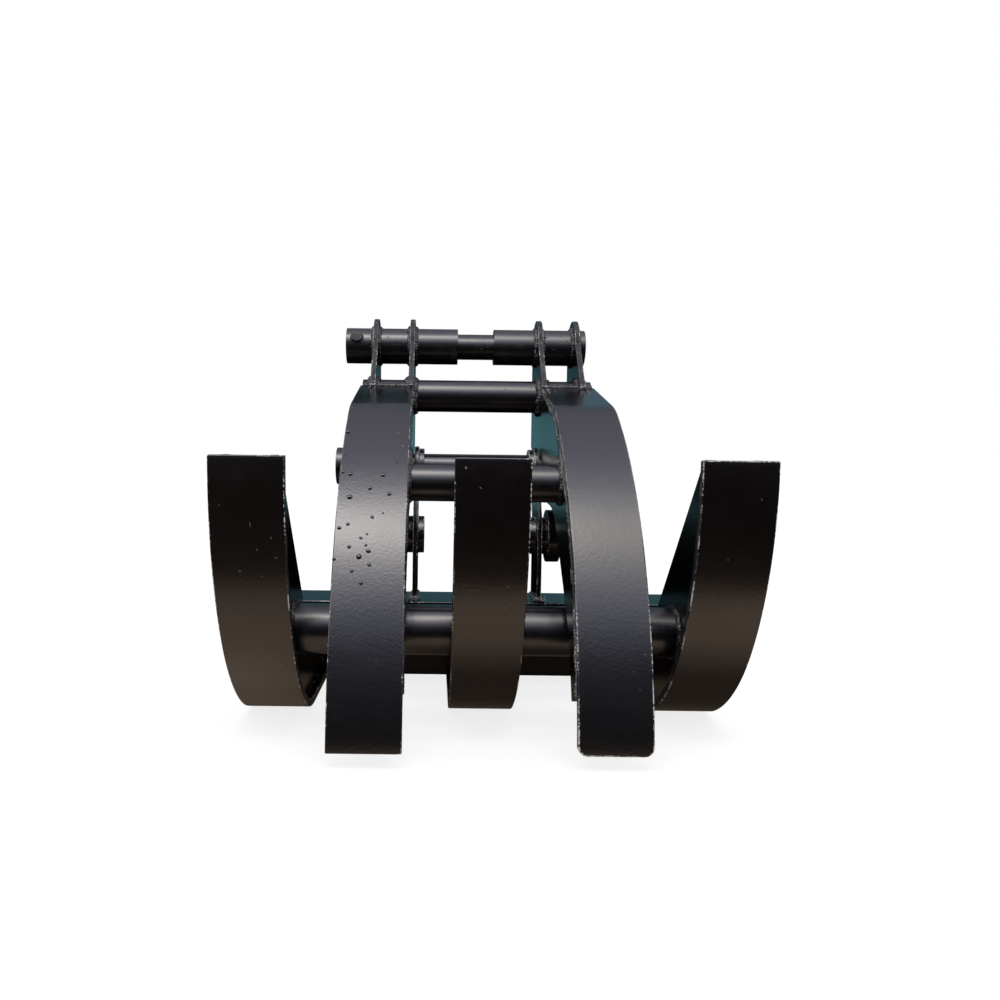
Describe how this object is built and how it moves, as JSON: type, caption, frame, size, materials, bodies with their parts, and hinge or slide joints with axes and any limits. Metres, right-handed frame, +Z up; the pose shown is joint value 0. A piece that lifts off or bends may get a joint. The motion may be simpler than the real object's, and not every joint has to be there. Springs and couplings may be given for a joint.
{
  "type": "log grapple",
  "caption": "Mechanical excavator log grapple: an upper claw hinged on the stick pin closes between the curved tines of a lower claw held by a brace pin.",
  "frame": {"origin": "on the stick pin's axis, midway between the side plates, with the jaws closed", "axes": "+X to the right along the pins, the tines face -Y, +Z up"},
  "size_m": [0.459, 0.4078, 0.418],
  "materials": {
    "black_paint": "semi-gloss black paint over steel plate",
    "pin_steel": "turned steel pins under a thin coat of dark paint",
    "zinc_fastener": "painted hex bolts and nuts"
  },
  "bodies": {
    "lower_jaw": {"lower_centre_tine_face": "black_paint", "lower_centre_tine_left_web": "black_paint", "lower_centre_tine_right_web": "black_paint", "lower_cross_tube": "black_paint", "lower_left_arm": "black_paint", "lower_left_tine_face": "black_paint", "lower_left_tine_left_web": "black_paint", "lower_left_tine_right_web": "black_paint", "lower_right_arm": "black_paint", "lower_right_tine_face": "black_paint", "lower_right_tine_left_web": "black_paint", "lower_right_tine_right_web": "black_paint", "rear_cross_beam": "black_paint"},
    "upper_jaw": {"link_pin": "pin_steel", "link_pin_lock_bolt": "zinc_fastener", "link_pin_sleeves": "black_paint", "stick_pin": "pin_steel", "stick_pin_sleeves": "black_paint", "upper_back_tube": "black_paint", "upper_front_tube": "black_paint", "upper_left_inner_side_plate": "black_paint", "upper_left_outer_side_plate": "black_paint", "upper_left_tine_face": "black_paint", "upper_right_inner_side_plate": "black_paint", "upper_right_outer_side_plate": "black_paint", "upper_right_tine_face": "black_paint"}
  },
  "joints": [
    {"name": "jaw_hinge", "type": "hinge", "parent": "lower_jaw", "child": "upper_jaw", "pos_m": [0, 0, 0], "axis": [-1, 0, 0], "range_deg": [0, 100]}
  ]
}
